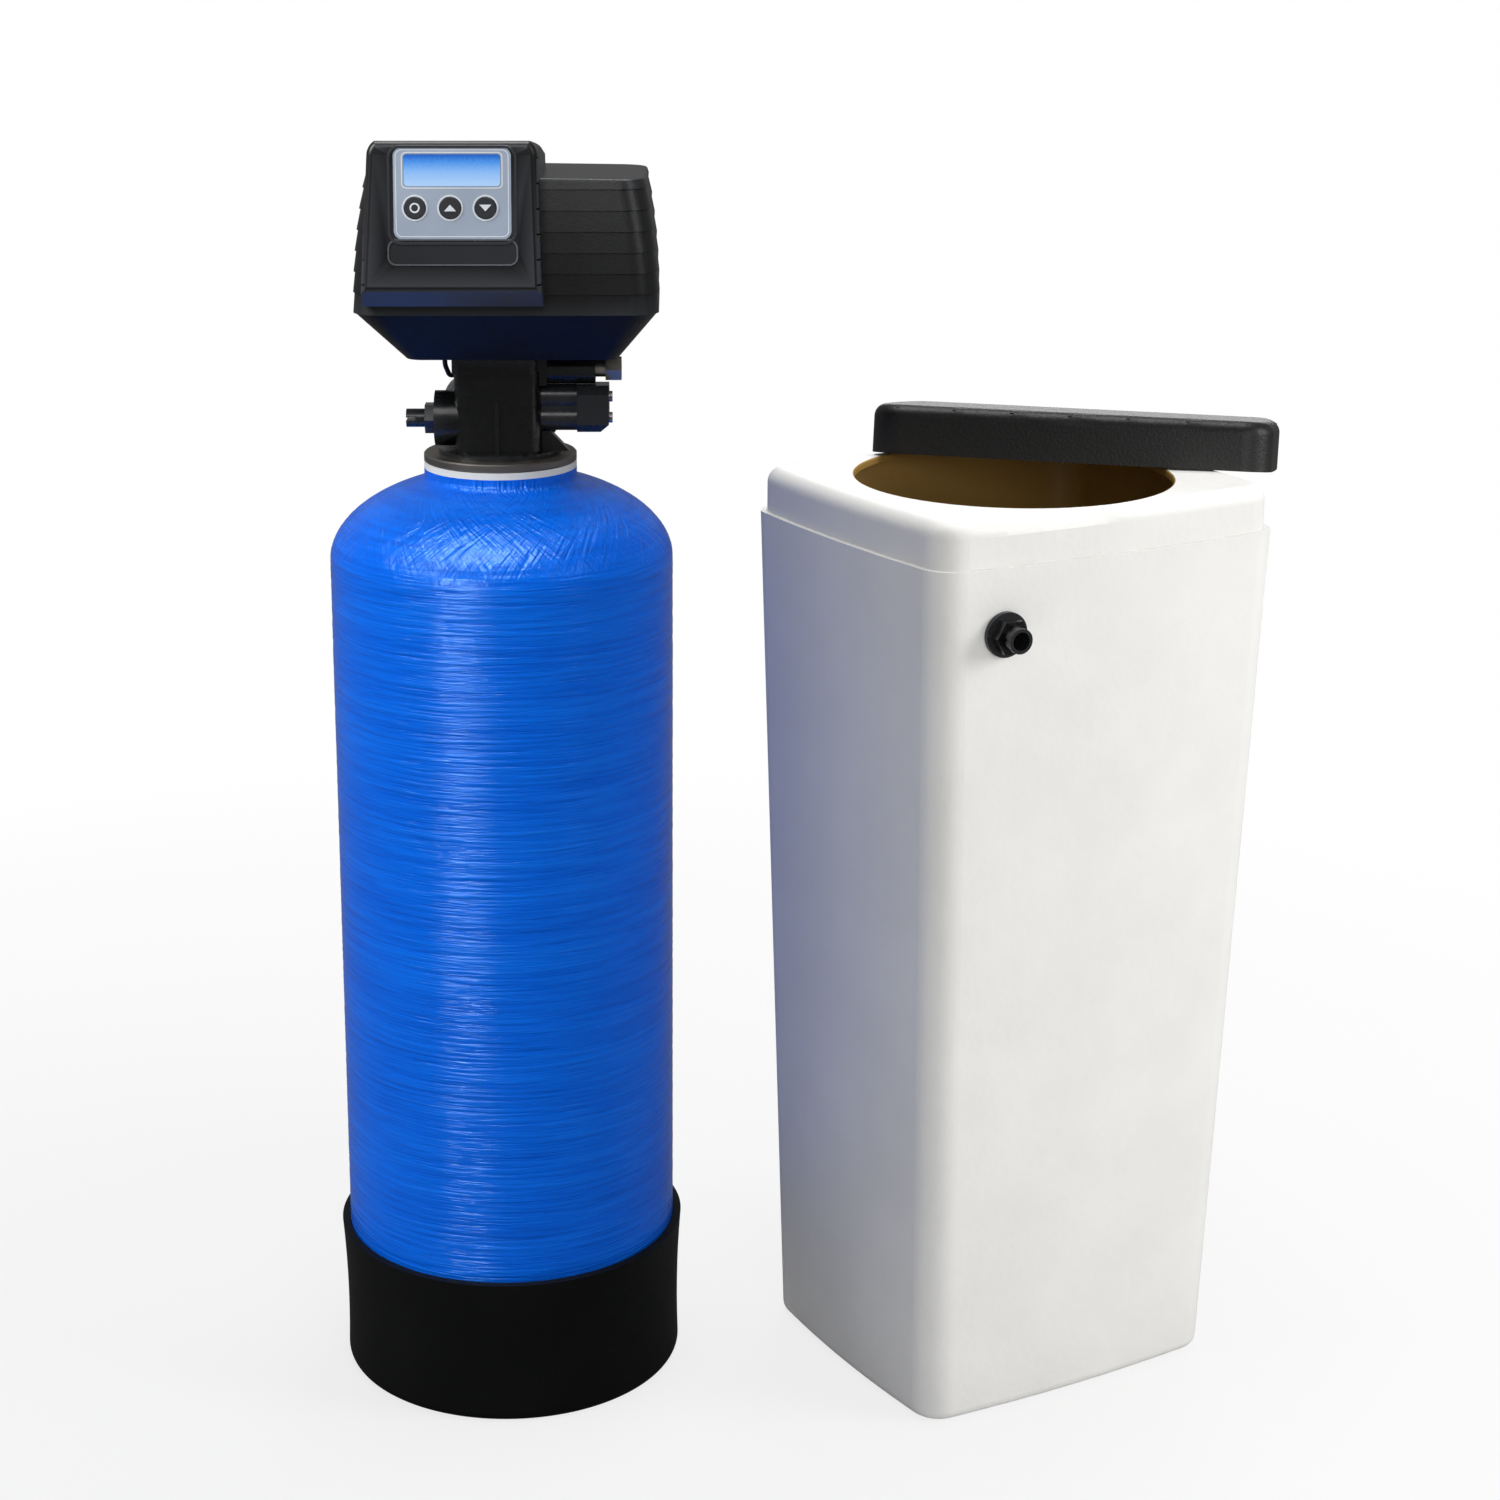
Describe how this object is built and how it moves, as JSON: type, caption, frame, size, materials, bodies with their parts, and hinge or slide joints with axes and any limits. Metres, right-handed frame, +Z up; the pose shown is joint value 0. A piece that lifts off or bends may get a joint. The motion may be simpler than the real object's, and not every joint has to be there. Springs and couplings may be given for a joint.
{
  "type": "water softener",
  "caption": "Water softener: a pressure vessel in a boot with an electronic control valve on its neck, and a brine tank with a loose lid beside it.",
  "frame": {"origin": "on the floor, on the axis of the vessel", "axes": "+Z up, -Y to the front, where the panel is; the brine tank stands towards +X"},
  "size_m": [0.6208, 0.4128, 0.7833],
  "materials": {
    "blue_shell": "wound glass fibre in blue resin",
    "liner": "smooth",
    "boot_rubber": "matt",
    "black_plastic": "fine texture",
    "body_plastic": "moulded",
    "ring_metal": "dull",
    "resin": "beads",
    "pale_plastic": "moulded",
    "seal_rubber": "smooth",
    "bright_steel": "bright",
    "nickel": "nickel plated",
    "panel_film": "printed film",
    "display_glass": "lit display",
    "key_plastic": "smooth",
    "ring_print": "printed",
    "board": "coated",
    "gear_plastic": "moulded",
    "motor_steel": "drawn",
    "white_plastic": "fine texture"
  },
  "bodies": {
    "root": {"vessel_shell": "blue_shell", "vessel_liner": "liner", "vessel_boot": "boot_rubber", "resin_bed": "resin", "riser_tube": "pale_plastic", "bottom_basket": "black_plastic", "top_basket": "black_plastic", "neck_ring": "ring_metal", "valve_body": "body_plastic", "piston_seals": "seal_rubber", "seal_spacers": "pale_plastic", "end_plug": "black_plastic", "mixing_nut": "body_plastic", "injector_body": "body_plastic", "injector_cover": "body_plastic", "injector_screws": "bright_steel", "line_fitting": "nickel", "tube_nut": "nickel", "inlet_coupling": "body_plastic", "outlet_coupling": "body_plastic", "port_clips": "bright_steel", "turbine_guides": "pale_plastic", "meter_probe": "body_plastic", "cable_gland": "body_plastic", "meter_cable": "seal_rubber", "base_skirt": "black_plastic", "head_cover": "black_plastic", "front_bezel": "black_plastic", "overlay_panel": "panel_film", "display_lens": "display_glass", "display_module": "board", "front_plate": "key_plastic", "button_rings": "ring_print", "key_switches": "key_plastic", "circuit_board": "board", "gear_frame": "black_plastic", "drive_motor": "motor_steel", "flange_screws": "bright_steel", "brine_tank": "white_plastic", "brine_well": "white_plastic", "salt_grid": "black_plastic", "safety_valve": "white_plastic", "overflow_fitting": "body_plastic", "overflow_nut": "body_plastic"},
    "drive_gear": {"drive_gear": "gear_plastic"},
    "piston": {"piston": "pale_plastic", "piston_rod": "bright_steel"},
    "motor_pinion": {"motor_pinion": "gear_plastic"},
    "brine_cam": {"brine_cam": "gear_plastic"},
    "brine_stem": {"brine_stem": "bright_steel"},
    "button_cycle": {"button_cycle": "key_plastic"},
    "button_up": {"button_up": "key_plastic"},
    "button_down": {"button_down": "key_plastic"},
    "meter_turbine": {"meter_turbine": "pale_plastic"},
    "mixing_stem": {"mixing_stem": "body_plastic"},
    "brine_lid": {"brine_lid": "black_plastic"},
    "well_cap": {"well_cap": "white_plastic"},
    "brine_float": {"brine_float": "pale_plastic"}
  },
  "joints": [
    {"name": "gear_turn", "type": "hinge", "parent": "root", "child": "drive_gear", "pos_m": [0, 0.0085, 0.715], "axis": [0, -1, 0], "range_deg": [0, 180]},
    {"name": "piston_lift", "type": "slide", "parent": "root", "child": "piston", "axis": [0, 0, 1], "range_m": [0, 0.02501]},
    {"name": "pinion_turn", "type": "hinge", "parent": "root", "child": "motor_pinion", "pos_m": [-0.03383, 0.0085, 0.72731], "axis": [0, -1, 0], "range_deg": [-540, 0]},
    {"name": "cam_turn", "type": "hinge", "parent": "root", "child": "brine_cam", "pos_m": [0.04, 0.0085, 0.69438], "axis": [0, -1, 0], "range_deg": [-270, 0]},
    {"name": "stem_push", "type": "slide", "parent": "root", "child": "brine_stem", "axis": [0, 0, -1], "range_m": [0, 0.003]},
    {"name": "cycle_press", "type": "slide", "parent": "root", "child": "button_cycle", "axis": [0, 0.9949, -0.1008], "range_m": [0, 0.0008], "stiffness_N_per_m": 600},
    {"name": "up_press", "type": "slide", "parent": "root", "child": "button_up", "axis": [0, 0.9949, -0.1008], "range_m": [0, 0.0008], "stiffness_N_per_m": 600},
    {"name": "down_press", "type": "slide", "parent": "root", "child": "button_down", "axis": [0, 0.9949, -0.1008], "range_m": [0, 0.0008], "stiffness_N_per_m": 600},
    {"name": "turbine_spin", "type": "hinge", "parent": "root", "child": "meter_turbine", "pos_m": [-0.022, 0.0377, 0.612], "axis": [0, 1, 0], "continuous": true},
    {"name": "mixing_turn", "type": "hinge", "parent": "root", "child": "mixing_stem", "pos_m": [-0.045, -0.008, 0.6135], "axis": [1, 0, 0], "range_deg": [0, 270]},
    {"name": "lid_lift", "type": "slide", "parent": "root", "child": "brine_lid", "axis": [0, 0, 1], "range_m": [0, 0.15]},
    {"name": "cap_lift", "type": "slide", "parent": "root", "child": "well_cap", "axis": [0, 0, 1], "range_m": [0, 0.05]},
    {"name": "float_rise", "type": "slide", "parent": "root", "child": "brine_float", "axis": [0, 0, 1], "range_m": [0, 0.015]}
  ],
  "couplings": [
    {"joint": "piston_lift", "follows": "gear_turn", "m_per_rad": 0.0079577},
    {"joint": "pinion_turn", "follows": "gear_turn", "ratio": -3},
    {"joint": "cam_turn", "follows": "gear_turn", "ratio": -1.5},
    {"joint": "stem_push", "follows": "gear_turn", "m_per_rad": 0.00095493}
  ]
}
